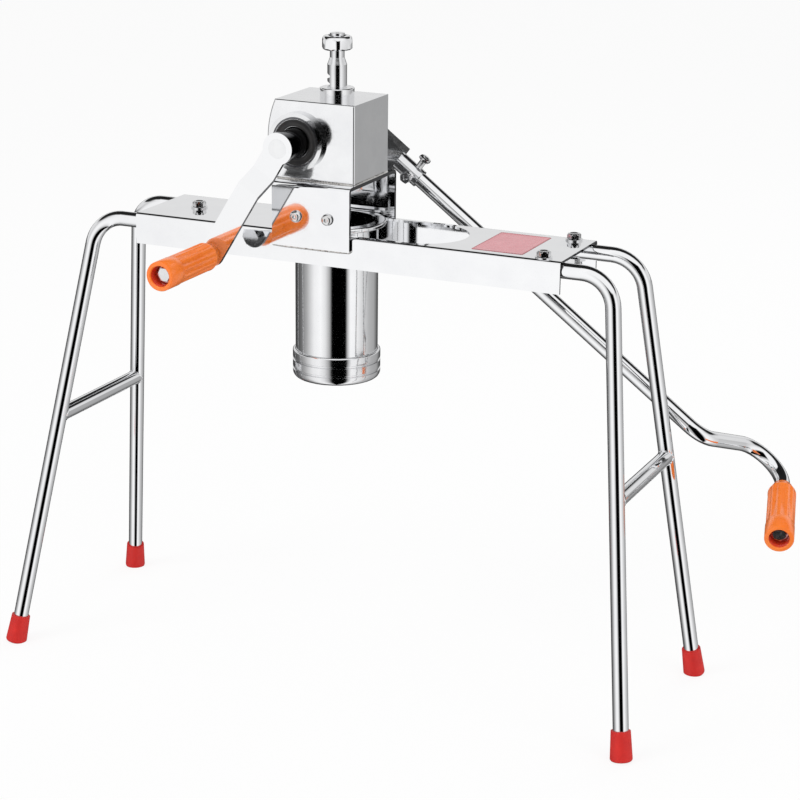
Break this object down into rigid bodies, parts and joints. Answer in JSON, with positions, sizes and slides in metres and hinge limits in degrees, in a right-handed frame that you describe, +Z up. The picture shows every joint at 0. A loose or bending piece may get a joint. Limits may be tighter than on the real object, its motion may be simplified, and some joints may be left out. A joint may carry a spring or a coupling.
{
  "type": "pasta extruder",
  "caption": "Hand cranked bench press that pushes pasta dough down through a die, on a folded steel beam with tube legs and rubber feet.",
  "frame": {"origin": "middle of the whole press in plan, at table height, with the cranks at rest", "axes": "X along the beam with the long crank's rod to +X, Y to the back, Z up; the front crank's grip points to -Y"},
  "size_m": [0.666, 0.3022, 0.5415],
  "materials": {
    "polished_steel": "mirror polished stainless steel",
    "brushed_steel": "satin stainless steel",
    "plated_fasteners": "bright plated",
    "bearing_metal": "turned, satin",
    "die_metal": "turned",
    "red_rubber": "smooth, semi-gloss",
    "orange_plastic": "moulded, semi-gloss",
    "piston_plastic": "food-safe, turned",
    "seal_rubber": "soft, matt"
  },
  "bodies": {
    "frame": {"beam_channel": "polished_steel", "leg_front_left": "polished_steel", "leg_back_left": "polished_steel", "leg_front_right": "polished_steel", "leg_back_right": "polished_steel", "foot_cap_front_left": "red_rubber", "foot_cap_back_left": "red_rubber", "foot_cap_front_right": "red_rubber", "foot_cap_back_right": "red_rubber", "cross_brace_left": "polished_steel", "cross_brace_right": "polished_steel", "beam_bolts": "plated_fasteners", "beam_washers": "plated_fasteners", "beam_nuts": "plated_fasteners", "leg_clamp_bar": "brushed_steel", "yoke_bracket": "polished_steel", "yoke_bolts": "plated_fasteners", "yoke_nuts": "plated_fasteners", "barrel_keeper_front": "brushed_steel", "barrel_keeper_back": "brushed_steel", "gearbox_housing": "brushed_steel", "top_guide_bush": "bearing_metal", "front_bearing": "bearing_metal", "rear_bearing": "bearing_metal", "barrel": "polished_steel"},
    "crank": {"crank_shaft": "brushed_steel", "pinion_gear": "brushed_steel", "front_crank_arm": "polished_steel", "front_grip_bolt": "plated_fasteners", "front_grip_nut": "plated_fasteners", "rear_crank_hub": "brushed_steel", "rod_socket": "brushed_steel", "rod_clamp_screws": "plated_fasteners"},
    "rack": {"rack_rod": "brushed_steel", "rack_top_nut": "plated_fasteners", "piston_disc": "piston_plastic", "piston_seal": "seal_rubber", "piston_screw": "plated_fasteners"},
    "die": {"die_plate": "die_metal"},
    "cap": {"barrel_cap": "polished_steel"},
    "front_handle": {"front_grip": "orange_plastic"},
    "rod": {"long_crank_rod": "polished_steel", "rear_grip_bolt": "plated_fasteners"},
    "rear_handle": {"rear_grip": "orange_plastic"}
  },
  "joints": [
    {"name": "crank_turn", "type": "hinge", "parent": "frame", "child": "crank", "pos_m": [-0.07901, 0.01219, 0.4565], "axis": [0, -1, 0], "range_deg": [-9, 260]},
    {"name": "rack_travel", "type": "slide", "parent": "frame", "child": "rack", "axis": [0, 0, 1], "range_m": [-0.0022, 0.06353]},
    {"name": "front_grip_spin", "type": "hinge", "parent": "crank", "child": "front_handle", "pos_m": [-0.13387, -0.06881, 0.36697], "axis": [0, -1, 0], "continuous": true},
    {"name": "rod_swivel", "type": "hinge", "parent": "crank", "child": "rod", "pos_m": [-0.0373, 0.08679, 0.42545], "axis": [0.8022, 0, -0.5971], "range_deg": [0, 180]},
    {"name": "rear_grip_spin", "type": "hinge", "parent": "rod", "child": "rear_handle", "pos_m": [0.30123, 0.12039, 0.17349], "axis": [0.2479, -0.9511, -0.1845], "continuous": true},
    {"name": "die_drop", "type": "slide", "parent": "frame", "child": "die", "axis": [0, 0, -1], "range_m": [0, 0.015]},
    {"name": "cap_unscrew", "type": "hinge", "parent": "die", "child": "cap", "pos_m": [-0.05951, 0.01219, 0.2535], "axis": [0, 0, -1], "range_deg": [0, 1800]}
  ],
  "couplings": [
    {"joint": "rack_travel", "follows": "crank_turn", "m_per_rad": 0.014},
    {"joint": "cap_unscrew", "follows": "die_drop", "rad_per_m": 2094.4}
  ]
}
